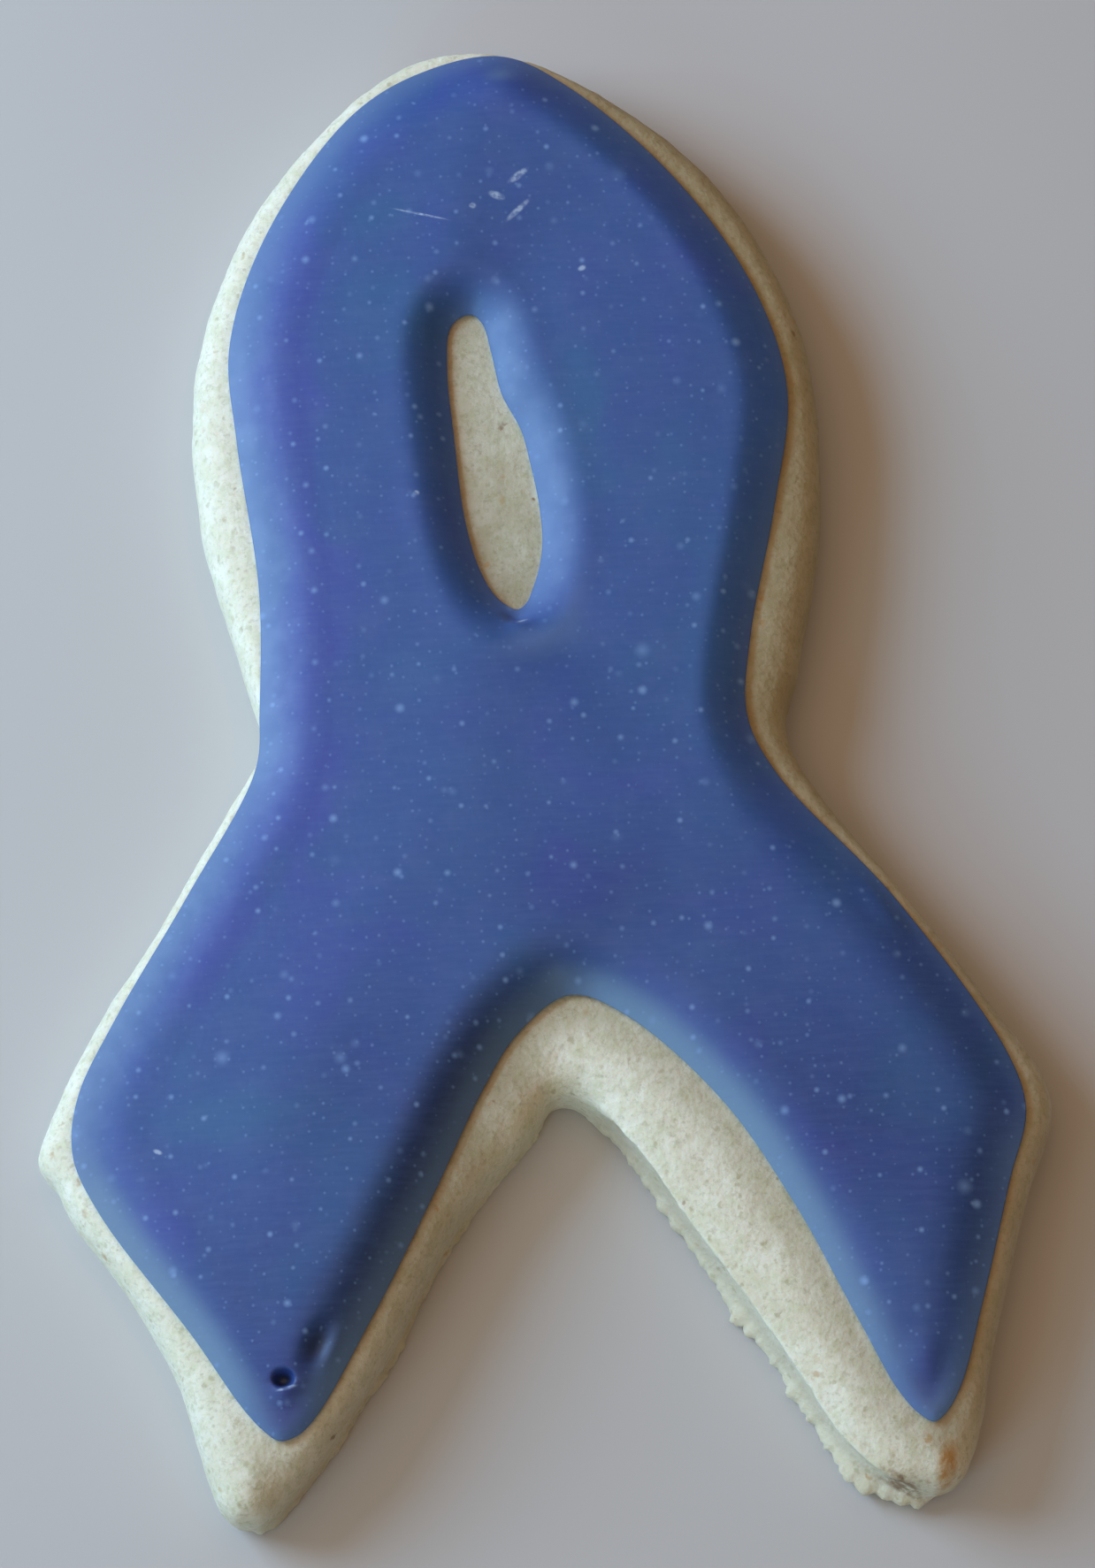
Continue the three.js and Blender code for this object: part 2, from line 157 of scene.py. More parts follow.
# How ragged the lip at the base is: its least share, and coarse and fine tatters on it, as
# layers of noise.
LIP_LEAST = 0.85
LIP_TATTERS = ((0.55, 0.9, 5.0), (0.3, 0.4, 0.0))
LIP_TATTERS_START = (0.0, 0.4)  # heights between which they fade in

# How the icing's top rises from its edges: by `rise` over `shoulder`, and then by `tilt` a mm.
# It ran thinner where an edge faces -X, and stands steeper where an edge faces the other way.
slopes = {
    "outline": {
        "thin": {"rise": 1.6, "shoulder": 4.6, "tilt": 0.06},
        "steep": {"rise": 2.3, "shoulder": 5.2, "tilt": 0.0},
    },
    "slot": {
        "thin": {"rise": 1.4, "shoulder": 3.4, "tilt": 0.05},
        "steep": {"rise": 2.1, "shoulder": 4.0, "tilt": 0.0},
    },
}

# Looks that follow the icing's edges. A pair of amounts or widths is for where the edge faces right
# and for where it faces left. `fades` is a range of insets. Some are painted light and shade: the
# violet band is a painted sheen on edges that face -X, towards the window; the thin and sheer rims
# are paler icing, partly painted light, as they are stronger on those edges; the last entry is
# painted shade on edges that face away.
edge_looks = {
    "violet": {"amount": 0.6, "inset": 2.6, "width": 2.0},
    "thin": {"amount": (0.3, 0.9), "width": (0.7, 1.6)},
    "sheer_and_lit": {"amount": (0.45, 1.0), "fades": (0.4, 2.3)},
    "painted_edge_shade": {"amount": (0.85, 0.0), "fades": (1.5, 5.0)},
}
# Painted shade on the legs' icing edges that face +X, away from the window: where it fades in below
# the origin, and its share on the right leg.
PAINTED_SHADE_STARTS = (5.0, 22.0)  # how far below the origin the murk fades in
RIGHT_LEG_PAINTED_SHADE = 0.6  # share of it on the right leg
RIGHT_LEG_STARTS = (0.0, 3.0)  # X between which that leg begins

# From here on, an ellipse is given by its centre, its half-length along `turn` and its
# half-width across it.

# Bumps and pits in the icing: height (below zero for a pit), and how steep the sides are.
marks = {
    "peak": {"at": (1.1, 44.7), "half": (2.5, 1.5), "turn": -8, "height": 0.3},
    "crotch_ridge": {"at": (0.6, -14.7), "half": (2.3, 1.0), "turn": 20, "height": 0.05},
    "slot_nib": {"at": (-0.05, 8.6), "half": (0.62, 0.42), "turn": 0, "height": -0.5},
    "slot_nib_lip": {"at": (0.15, 7.7), "half": (0.8, 0.4), "turn": 0, "height": 0.22},
    "edge_lump": {"at": (21.86, -11.56), "half": (1.9, 1.0), "turn": -52, "height": 0.25},
    "right_tip": {"at": (22.06, -40.16), "half": (1.5, 1.1), "turn": 70, "height": 0.2},
    "bubble": {
        "at": (-16.85, -39.25), "half": (0.56, 0.48), "turn": 0, "height": -1.05, "steepness": 2,
    },
    "bubble_lip": {"at": (-16.7, -39.95), "half": (1.0, 0.45), "turn": 20, "height": 0.16},
    "dent": {
        "at": (-14.7, -37.3), "half": (1.35, 0.7), "turn": 62, "height": -0.5, "steepness": 1.1,
    },
    "dent_lip": {"at": (-13.85, -37.5), "half": (1.2, 0.4), "turn": 62, "height": 0.1},
}
FINE_MARKS = ("bubble", "dent", "slot_nib")

# Painted shade on the floors of two of the pits.
pit_shades = {
    "bubble": {"half": (0.4, 0.34), "amount": 0.6},
    "dent": {"half": (1.0, 0.42), "amount": 0.45},
}

# Small things stuck to the icing, and two painted glints of light: nib_glint below the slot's nib and
# bubble_glint at the bubble's rim.
flecks_and_glints = {
    "smear_top": {"at": (1.7, 38.0), "half": (0.65, 0.2), "turn": 35},
    "smear_left": {"at": (0.25, 36.7), "half": (0.45, 0.22), "turn": -25},
    "stroke": {"at": (1.55, 35.65), "half": (0.85, 0.17), "turn": 42},
    "scratch": {"at": (-4.75, 35.7), "half": (1.5, 0.07), "turn": -17},
    "dot_middle": {"at": (-1.35, 36.05), "half": (0.2, 0.17), "turn": 0},
    "dot_right": {"at": (5.45, 31.5), "half": (0.24, 0.16), "turn": 20},
    "dot_low": {"at": (-23.95, -24.8), "half": (0.25, 0.13), "turn": -25},
    "dot_left": {"at": (-5.95, 16.75), "half": (0.18, 0.15), "turn": 0},
    "nib_glint": {"at": (0.3, 8.15), "half": (0.32, 0.1), "turn": 15},
    "bubble_glint": {"at": (-16.65, -39.85), "half": (0.55, 0.1), "turn": 12},
}

# Where the icing's colour leans towards violet (above 0) or teal (below 0), and how much.
tints = {
    "loop_left": {"at": (-13.0, 28.0), "half": (9.0, 2.2), "turn": 75, "amount": 0.9},
    "loop_low_left": {"at": (-12.5, 15.0), "half": (7.0, 2.4), "turn": 95, "amount": 0.55},
    "waist_left": {"at": (-13.0, 1.0), "half": (7.0, 3.5), "turn": 80, "amount": 1.0},
    "loop_right": {"at": (8.0, 31.5), "half": (4.5, 4.0), "turn": 0, "amount": 0.3},
    "middle": {"at": (1.5, -4.0), "half": (8.0, 5.0), "turn": 90, "amount": 0.4},
    "left_leg_inner": {"at": (-8.0, -14.0), "half": (6.0, 4.0), "turn": 60, "amount": 0.35},
    "leg_left_edge": {"at": (-20.5, -12.5), "half": (6.5, 2.0), "turn": 60, "amount": 0.9},
    "left_tip": {"at": (-16.3, -41.0), "half": (2.0, 1.2), "turn": 0, "amount": 0.7},
    "right_tip": {"at": (22.0, -41.0), "half": (3.0, 1.6), "turn": 70, "amount": 0.8},
    "loop_top_left": {"at": (-8.5, 33.5), "half": (3.2, 3.5), "turn": 0, "amount": -0.8},
    "loop_limb_left": {"at": (-8.5, 20.0), "half": (7.0, 2.4), "turn": 90, "amount": -0.5},
    "left_leg_mid": {"at": (-19.0, -22.0), "half": (5.0, 4.0), "turn": 0, "amount": -0.9},
    "left_leg_low": {"at": (-19.5, -33.0), "half": (4.5, 3.5), "turn": 0, "amount": -0.6},
    "right_leg_mid": {"at": (22.0, -22.0), "half": (4.0, 2.5), "turn": 60, "amount": -0.8},
    "crotch": {"at": (2.8, -13.5), "half": (4.0, 2.2), "turn": 0, "amount": -1.0},
    "slot_right": {"at": (5.6, 18.0), "half": (9.0, 2.0), "turn": 100, "amount": -0.9},
    "slot_left": {"at": (-5.3, 23.0), "half": (8.0, 1.2), "turn": 92, "amount": -0.6},
}

# Painted shade: where the icing is darker, and how much.
painted_shade_patches = {
    "right_leg": {"at": (19.0, -25.0), "half": (10.0, 5.0), "turn": -55, "amount": 0.6},
    "above_crotch": {"at": (3.5, -9.5), "half": (6.5, 3.5), "turn": 0, "amount": 0.3},
    "left_leg_low": {"at": (-18.5, -34.5), "half": (6.0, 5.0), "turn": 60, "amount": 0.5},
    "left_leg_high": {"at": (-12.0, -21.0), "half": (7.0, 3.5), "turn": 60, "amount": 0.4},
}

# Painted light: where it is paler away from its edges, on the lit slopes round the slot's low end,
# and how much.
lit_patches = {
    "below_slot": {"at": (1.0, 6.7), "half": (2.2, 1.0), "turn": 15, "amount": 0.6},
    "slot_low_right": {"at": (3.6, 9.0), "half": (2.0, 1.0), "turn": 75, "amount": 0.4},
}

# Painted highlights away from the edges that face -Y, and how much: on the bump above the crotch and
# at the peak. They go into the same colour as the sheer edges.
painted_highlights = {
    "crotch": {"at": (1.1, -15.0), "half": (1.1, 0.6), "turn": 20, "amount": 0.3},
    "peak": {"at": (0.97, 45.3), "half": (0.9, 0.55), "turn": 15, "amount": 0.5},
}

# The tips, where the edges that face -Y are not sheer, nor painted lighter.
opaque_tips = {
    "right": {"at": (21.6, -41.5), "half": (5.0, 3.0), "turn": 65},
    "left": {"at": (-17.0, -42.0), "half": (3.0, 2.5), "turn": 0},
}

# At the base of the right tip: dough that is squeezed out into a fold, its crack, and a
# toasted patch.
fold = {"at": (19.2, -46.2), "half": (3.6, 1.7), "turn": -38, "steepness": 2}
FOLD_FOOT = 2.43
FOLD_FOOT_FULL = 0.55
crack = {"at": (20.6, -47.2), "half": (1.5, 0.2), "turn": -30}
toasted = {"at": (23.2, -46.5), "half": (1.4, 0.55), "turn": 78}


# ------------------------------------------------------------------ edges and height functions


def smoothstep(value, low, high):
    t = np.clip((np.asarray(value, float) - low) / (high - low), 0, 1)
    return t * t * (3 - 2 * t)


def fading(value, low, high):
    """1 up to the low value, falling smoothly to 0 at the high one."""
    return 1 - smoothstep(value, low, high)


def lerp(a, b, share):
    return a + (b - a) * share


def ridge(inset, at, width):
    """1 at one inset, falling off on both sides of it."""
    return np.exp(-(((inset - at) / width) ** 2))


erf = np.vectorize(math.erf, otypes=[float])


def rings_at(node, height):
    """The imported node's closed rings of vertices at that height, the longest first."""
    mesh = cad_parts[node].data
    place = {
        v.index: (round(v.co.x / MM, 4), round(v.co.y / MM, 4))
        for v in mesh.vertices
        if abs(v.co.z / MM - height) < SAME
    }
    beside = {}
    for edge in mesh.edges:
        a, b = (place.get(i) for i in edge.vertices)
        if a and b and a != b:
            beside.setdefault(a, set()).add(b)
            beside.setdefault(b, set()).add(a)
    rings = []
    while beside:
        ring = [min(beside)]
        while True:
            ahead = sorted(p for p in beside.pop(ring[-1]) if p in beside)
            if not ahead:
                break
            ring.append(ahead[0])
        rings.append(np.array(ring))
    return sorted(rings, key=len, reverse=True)


def turned(points, anticlockwise):
    """The ring's points in that order."""
    ahead = np.roll(points, -1, axis=0)
    area = (points[:, 0] * ahead[:, 1] - points[:, 1] * ahead[:, 0]).sum()
    return points if (area > 0) == anticlockwise else points[::-1]


def evenly(points, step, cuts=12):
    """A smooth closed curve through the points, cut finely between each two of them and then
    into even steps."""
    before, after, last = (np.roll(points, shift, axis=0) for shift in (1, -1, -2))
    pieces = [
        0.5 * (
            2 * points
            + (after - before) * t
            + (2 * before - 5 * points + 4 * after - last) * t**2
            + (3 * points - before - 3 * after + last) * t**3
        )
        for t in np.linspace(0, 1, cuts, endpoint=False)
    ]
    dense = np.stack(pieces, axis=1).reshape(-1, 2)
    closed = np.vstack([dense, dense[:1]])
    along = np.concatenate([[0], np.cumsum(np.linalg.norm(np.diff(closed, axis=0), axis=1))])
    at = np.linspace(0, along[-1], round(along[-1] / step), endpoint=False)
    return np.column_stack([np.interp(at, along, closed[:, k]) for k in (0, 1)])


class Edge:
    """A closed line in the plane, with the material on its left."""

    def __init__(self, points):
        self.points = points
        self.ahead = np.roll(points, -1, axis=0)
        run = self.ahead - np.roll(points, 1, axis=0)
        run /= np.linalg.norm(run, axis=1)[:, None]
        self.inward = np.column_stack([-run[:, 1], run[:, 0]])
        self.tree = kdtree.KDTree(len(points))
        for i, (x, y) in enumerate(points):
            self.tree.insert((x, y, 0), i)
        self.tree.balance()

    def nearest(self, xy):
        """The number of the edge's point nearest to each of the points."""
        return np.array([self.tree.find((x, y, 0))[1] for x, y in xy])

    def inset(self, xy):
        """How far points lie inside the edge: below 0 outside."""
        nearest = self.nearest(xy)
        best = np.full(len(xy), np.inf)
        signed = np.zeros(len(xy))
        for first in (nearest - 1, nearest):
            start = self.points[first]
            run = self.ahead[first] - start
            off = xy - start
            t = np.clip((off * run).sum(1) / (run * run).sum(1), 0, 1)
            distance = np.linalg.norm(off - t[:, None] * run, axis=1)
            side = np.sign(run[:, 0] * off[:, 1] - run[:, 1] * off[:, 0])
            signed = np.where(distance < best, side * distance, signed)
            best = np.minimum(distance, best)
        return signed

    def moved(self, inset):
        """The edge's points moved into the material, each by its own inset."""
        return self.points + self.inward * np.broadcast_to(inset, len(self.points))[:, None]


def packed_edge(ring, anticlockwise, step):
    """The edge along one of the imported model's rings."""
    return Edge(evenly(turned(ring, anticlockwise), step))


def crown(inset, width, top_power=2.0, edge_power=1.0):
    """0 at an edge, 1 at `width` from it, rounding over between the two."""
    remaining = 1 - np.clip(inset / width, 0, 1)
    return (1 - remaining**top_power) ** (1 / edge_power)


def inset_at_rise(rise, width, top_power, edge_power):
    """The distance from the edge at which crown() reaches `rise`."""
    return width * (1 - (1 - rise**edge_power) ** (1 / top_power))


def spot(xy, at, half, turn, steepness=1):
    """1 at the centre of an ellipse, falling to 1/e at its rim and to 0 beyond."""
    angle = math.radians(turn)
    away = xy - np.array(at)
    u = (away[:, 0] * math.cos(angle) + away[:, 1] * math.sin(angle)) / half[0]
    v = (away[:, 1] * math.cos(angle) - away[:, 0] * math.sin(angle)) / half[1]
    return np.exp(-((u * u + v * v) ** steepness))


def spots(xy, table, strength="amount"):
    """The sum of a table's spots, each times the strength that its entry gives."""
    return sum(
        entry[strength] * spot(xy, **{key: value for key, value in entry.items() if key != strength})
        for entry in table.values()
    )


def grain(points, size, offset=0.0):
    """Smooth noise between about -1 and 1, with features of about `size`."""
    shift = Vector((offset, 2.3 * offset, 1.7 * offset))
    return np.array([noise.noise(Vector(p) / size + shift) for p in points])


def relief(points, layers):
    return sum(height * grain(points, size, offset) for height, size, offset in layers)


def flat_points(xy, z=0.0):
    return np.column_stack([xy, np.full(len(xy), z)])


biscuit_edge = packed_edge(rings_at("biscuit", BISCUIT_WIDEST)[0], True, biscuit["edge_step"])
lip_edge = packed_edge(rings_at("biscuit", BISCUIT_LIP)[0], True, biscuit["edge_step"])
icing_rings = rings_at("icing", ICING_WIDEST)
icing_edge = packed_edge(icing_rings[0], True, icing["edge_step"])
slot_edge = packed_edge(icing_rings[1], False, icing["edge_step"])

box_low, box_high = (np.array(corner[:2]) / MM for corner in cad_box)


def icing_inset(xy):
    return np.minimum(icing_edge.inset(xy), slot_edge.inset(xy))


def nearer_outline(xy):
    """Whether the icing's outline is nearer than the slot's edge."""
    return np.abs(icing_edge.inset(xy)) < np.abs(slot_edge.inset(xy))


def faces_left(edge, xy):
    """1 where the nearest part of an edge faces -X, 0 where it faces the other way."""
    return smoothstep(edge.inward[edge.nearest(xy), 0], -0.2, 0.7)


def faces_down(edge, xy):
    """1 where the nearest part of an edge faces -Y."""
    return smoothstep(edge.inward[edge.nearest(xy), 1], 0.1, 0.55)


class Surface:
    """Heights over the plane, blurred away from the edge so that no crease shows where
    the nearest part of the edge changes."""

    step = 0.25
    room = 2.0  # how far the grid goes on round the cookie
    blend = (0.8, 2.4)  # insets between which the blurred heights take over

    def __init__(self, height, inset, blur):
        self.height, self.inset, self.blur = height, inset, blur
        self.low = box_low - self.room
        count = np.ceil((box_high - box_low + 2 * self.room) / self.step).astype(int)
        x, y = (self.low[k] + self.step * np.arange(count[k]) for k in (0, 1))
        xy = np.stack(np.meshgrid(x, y, indexing="ij"), axis=-1).reshape(-1, 2)
        inside = (inset(xy) > 0).astype(float)
        heights = np.where(inside > 0, height(xy), 0)
        width = blur / self.step
        reach = math.ceil(3 * width)
        kernel = np.exp(-0.5 * (np.arange(-reach, reach + 1) / width) ** 2)
        total, weight = (self.spread(a.reshape(count), kernel) for a in (heights, inside))
        self.grid = total / np.maximum(weight, 1e-9)

    @staticmethod
    def spread(values, kernel):
        for axis in (0, 1):
            values = np.apply_along_axis(np.convolve, axis, values, kernel, mode="same")
        return values

    def blurred(self, xy):
        place = (xy - self.low) / self.step
        cell = np.clip(place.astype(int), 0, np.array(self.grid.shape) - 2)
        fx, fy = (place - cell).T
        i, j = cell.T
        return (
            self.grid[i, j] * (1 - fx) * (1 - fy)
            + self.grid[i + 1, j] * fx * (1 - fy)
            + self.grid[i, j + 1] * (1 - fx) * fy
            + self.grid[i + 1, j + 1] * fx * fy
        )

    def at(self, xy):
        return lerp(self.height(xy), self.blurred(xy), smoothstep(self.inset(xy), *self.blend))


class Inset(Surface):
    """The distance from an edge, smooth where the nearest part of the edge changes."""

    blend = (0.3, 1.5)

    def __init__(self, edge, blur):
        super().__init__(edge.inset, edge.inset, blur)

    def at(self, xy):
        """Near an edge the blur takes in only what lies inside it, so that the blurred distance
        comes out too long by `excess`."""
        inset = self.inset(xy)
        away = np.maximum(inset, 0) / self.blur
        tail = np.exp(-0.5 * away**2) / math.sqrt(2 * math.pi)
        excess = self.blur * tail / (0.5 + 0.5 * erf(away / math.sqrt(2)))
        return lerp(inset, self.blurred(xy) - excess, smoothstep(inset, *self.blend))


# ------------------------------------------------------------------ meshes


def fill(loops, inner):
    """Triangles between closed loops, the first outside and the others holes, over the points
    inside too. They count through the loops' points in turn, and then the inner ones."""
    edges = []
    start = 0
    for loop in loops:
        count = len(loop)
        edges += [(start + i, start + (i + 1) % count) for i in range(count)]
        start += count
    points = np.vstack([*loops, inner])
    # Its triangles count through points of its own, and `origins` says which ones they were.
    _, _, triangles, origins, _, _ = geometry.delaunay_2d_cdt(
        [Vector(p) for p in points], edges, [], 0, 1e-7, True
    )
    source = np.array([ids[0] for ids in origins])
    faces = source[np.array(triangles)]
    middle = points[faces].mean(axis=1)
    is_on = np.all([Edge(loop).inset(middle) > 0 for loop in loops], axis=0)
    faces = faces[is_on]
    a, b, c = (points[faces[:, k]] for k in range(3))
    area = (b[:, 0] - a[:, 0]) * (c[:, 1] - a[:, 1]) - (b[:, 1] - a[:, 1]) * (c[:, 0] - a[:, 0])
    return np.where((area > 0)[:, None], faces, faces[:, ::-1])


def grid_points(step, is_wanted):
    """An even triangular grid over the cookie, where is_wanted says."""
    rows = np.arange(box_low[1], box_high[1], step * math.sqrt(0.75))
    xy = np.array([
        (x, y)
        for k, y in enumerate(rows)
        for x in np.arange(box_low[0] + 0.5 * step * (k % 2), box_high[0], step)
    ])
    return xy[is_wanted(xy)]


def near(centre, reach, step):
    """A fine grid of points within reach of a centre."""
    side = np.arange(-reach, reach, step)
    x, y = np.meshgrid(side, side)
    xy = np.column_stack([x.ravel(), y.ravel()])
    return xy[np.linalg.norm(xy, axis=1) < reach] + np.array(centre)


class Shell:
    """A closed piece: stacks of rings, lowest first, under a top and over a flat underside."""

    def __init__(self, stacks, top_xy, top_height, under_xy):
        self.parts = []
        self.count = 0
        self.quads = []
        rings = [[self.add(np.column_stack([xy, z])) for xy, z in stack] for stack in stacks]
        for stack in rings:
            for low, high in zip(stack, stack[1:]):
                self.quads.append(np.column_stack([low, np.roll(low, -1), np.roll(high, -1), high]))
        crest = [stack[-1][0] for stack in stacks]
        base = [stack[0][0] for stack in stacks]
        top = self.add(np.column_stack([top_xy, top_height(top_xy)]))
        under = self.add(flat_points(under_xy, float(np.mean(stacks[0][0][1]))))
        top_index = np.concatenate([*(stack[-1] for stack in rings), top])
        under_index = np.concatenate([*(stack[0] for stack in rings), under])
        self.triangles = np.vstack([
            top_index[fill(crest, top_xy)],
            under_index[fill(base, under_xy)][:, ::-1],
        ])
        self.points = np.vstack(self.parts)

    def add(self, points):
        self.parts.append(points)
        self.count += len(points)
        return np.arange(self.count - len(points), self.count)

    def normals(self):
        """Unit normals at the points, from the faces round them."""
        summed = np.zeros_like(self.points)
        for faces in [self.triangles, *self.quads]:
            a, b, c = (self.points[faces[:, k]] for k in (0, 1, 2))
            normal = np.cross(b - a, c - a)
            for k in range(faces.shape[1]):
                np.add.at(summed, faces[:, k], normal)
        return summed / np.linalg.norm(summed, axis=1)[:, None]

    def piece(self, name, attributes):
        mesh = bpy.data.meshes.new(name)
        faces = [*self.triangles.tolist(), *np.vstack(self.quads).tolist()]
        mesh.from_pydata((self.points * MM).tolist(), [], faces)
        mesh.shade_smooth()
        for key, values in attributes.items():
            attribute = mesh.attributes.new(key, "FLOAT", "POINT")
            attribute.data.foreach_set("value", values.astype(np.float32))
        made = bpy.data.objects.new(name, mesh)
        bpy.context.scene.collection.objects.link(made)
        return made


# ------------------------------------------------------------------ the biscuit

# How far the lip at the base stands out at each point of the edge, and how much of the
# wall above it is the right leg's cut one.
lip_inset = lip_edge.inset(biscuit_edge.points)
lip_reach = smoothstep(lip_inset, *biscuit["lip_starts"]) * np.maximum(
    lip_inset + biscuit["lip_extra"], 0
)
cut_share = (
    smoothstep(biscuit_edge.points[:, 0], *CUT_STARTS)
    * fading(biscuit_edge.points[:, 0], *CUT_ENDS)
    * smoothstep(lip_reach, *CUT_LIP)
)


def rim_width(to_icing):
    """Width of the rim that rounds over, from the distance between the edge and the icing."""
    return np.clip(to_icing, biscuit["least_margin"], biscuit["round_over"])


def biscuit_height(xy):
    inset = np.maximum(biscuit_edge.inset(xy), 0)
    to_icing = np.maximum(-icing_edge.inset(xy), 0)
    rim = crown(inset, rim_width(inset + to_icing), *biscuit["rim_powers"])
    rounded = BISCUIT_WIDEST + (BISCUIT_TOP - BISCUIT_WIDEST) * np.where(to_icing > 0, rim, 1)
    sloping = CUT_CREASE + (BISCUIT_TOP - CUT_CREASE) * crown(inset, CUT_SLOPE)
    return lerp(rounded, sloping, cut_share[biscuit_edge.nearest(xy)])


biscuit_surface = Surface(biscuit_height, biscuit_edge.inset, biscuit["blur"])


def lower_wall():
    """The wall's rings up to its widest height, with the lip at the base."""
    flat = flat_points(biscuit_edge.points)
    in_fold = spot(biscuit_edge.points, **fold)
    coarse, fine = (relief(flat, [layer]) for layer in LIP_TATTERS)
    ragged = LIP_LEAST + np.abs(coarse) + fine
    foot_height = lerp(lerp(biscuit["foot"], CUT_FOOT, cut_share), FOLD_FOOT, in_fold)
    foot_full = lerp(biscuit["foot_full"], FOLD_FOOT_FULL, in_fold)
    rings = []
    for z in WALL_HEIGHTS:
        tuck = biscuit["tuck"] * (1 - z / BISCUIT_WIDEST) ** 3
        foot = fading(z / foot_height, foot_full, 1)
        tattered = lerp(1, ragged, smoothstep(z, *LIP_TATTERS_START)) if z else LIP_LEAST
        lip = lip_reach * foot * tattered
        hollow = CUT_HOLLOW * cut_share * smoothstep(z, CUT_HOLLOW_FROM, BISCUIT_WIDEST)
        rings.append((biscuit_edge.moved(tuck - lip + hollow), np.full(len(flat), float(z))))
    return rings


def upper_wall():
    """The wall's rings above its widest height: rounded, or as the cutter left them."""
    width = rim_width(-icing_edge.inset(biscuit_edge.points))
    wander = relief(flat_points(biscuit_edge.points), CUT_RELIEF)
    rings = []
    for k, (cut_z, cut_inset) in enumerate(CUT_WALL, start=1):
        rise = biscuit["last_rise"] * k / len(CUT_WALL)
        inset = inset_at_rise(rise, width, *biscuit["rim_powers"])
        z = BISCUIT_WIDEST + (BISCUIT_TOP - BISCUIT_WIDEST) * rise
        astray = smoothstep(k, 0, CUT_RELIEF_RINGS) * wander
        rings.append((
            biscuit_edge.moved(lerp(inset, cut_inset + astray, cut_share)),
            lerp(z, cut_z + astray, cut_share),
        ))
    return rings


def biscuit_attributes(points):
    """What the biscuit's material reads at each point."""
    xy = points[:, :2]
    x, y, z = points.T
    inset = biscuit_edge.inset(xy)
    nearest = biscuit_edge.nearest(xy)
    left = np.where(nearer_outline(xy), faces_left(icing_edge, xy), faces_left(slot_edge, xy))
    between_legs = smoothstep(-y, 10, 16) * smoothstep(x, -16, -8)
    beside_icing = fading(-icing_edge.inset(xy), 0.5, 3.2)
    left_tip = smoothstep(-y, 36, 45) * smoothstep(-x, 0, 5)
    slot = smoothstep(-slot_edge.inset(xy), -0.3, 0.2)
    slot_high = smoothstep(y, 9, 22)
    loop = smoothstep(y, -20, 0)
    rim = fading(inset, 2.5, 4.0)
    faces_right = smoothstep(-biscuit_edge.inward[nearest, 0], 0.1, 0.6)
    wall = fading(inset, 0.1, 0.5) * fading(z, 5.2, 5.8)
    on_lip = fading(inset, -0.35, 0.0) * smoothstep(lip_reach[nearest], 0.2, 0.5)
    return {
        "to_icing": -icing_inset(xy),
        "shaded": 1 - left,
        # Painted shade beside the icing between the legs, and a little at the left tip.
        "legs_and_tip_shade": between_legs * beside_icing + 0.3 * left_tip,
        # Painted shade in the slot, stronger towards its low end, with a browner crumb there.
        "in_slot": slot * lerp(1.6, 1, slot_high),
        # Painted shade on the rim that faces +X, away from the window, most on the loop.
        "away": faces_right * rim * lerp(0.3, 1, loop),
        # The cut wall: a tan crumb, partly painted shade.
        "cut": cut_share[nearest] * wall,
        "foot": on_lip,
    }


def make_biscuit():
    stack = lower_wall() + upper_wall()
    crest = Edge(stack[-1][0])
    base = Edge(stack[0][0])

    def is_bare(xy):
        is_inside = crest.inset(xy) > biscuit["crest_gap"] * biscuit["grid_step"]
        return is_inside & (icing_inset(xy) < biscuit["shown"])

    def is_covered(xy):
        return icing_inset(xy) > biscuit["covered"]

    def is_under(xy):
        return base.inset(xy) > biscuit["base_gap"]

    top_xy = np.vstack([
        grid_points(biscuit["grid_step"], is_bare),
        grid_points(biscuit["covered_grid_step"], is_covered),
    ])
    under_xy = grid_points(biscuit["underside_grid_step"], is_under)
    shell = Shell([stack], top_xy, biscuit_surface.at, under_xy)
    attributes = biscuit_attributes(shell.points)
    upward = smoothstep(shell.points[:, 2], *biscuit["relief_starts"])
    height = relief(shell.points, BISCUIT_RELIEF) * upward
    shell.points = shell.points + shell.normals() * height[:, None]
    made = shell.piece("cookie_biscuit", attributes)
    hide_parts("biscuit")
    return made


# ------------------------------------------------------------------ the icing


def blurred_facing(facing, edge, blur):
    """How much the nearest part of an edge faces one way, blurred: a function of place."""
    return Surface(lambda xy: facing(edge, xy), edge.inset, blur).blurred


outline_inset = Inset(icing_edge, icing["blur"])
slot_inset = Inset(slot_edge, icing["blur"])
outline_left = blurred_facing(faces_left, icing_edge, icing["outline_left_blur"])
outline_down = blurred_facing(faces_down, icing_edge, icing["outline_down_blur"])
slot_left = blurred_facing(faces_left, slot_edge, icing["slot_left_blur"])


def risen(inset, left, slope):
    """How far the icing's top has risen inside one of its edges, which faces left or not."""
    rise, shoulder, tilt = (
        lerp(slope["steep"][key], slope["thin"][key], left) for key in ("rise", "shoulder", "tilt")
    )
    return rise * crown(inset, shoulder) + tilt * np.maximum(inset - shoulder, 0)


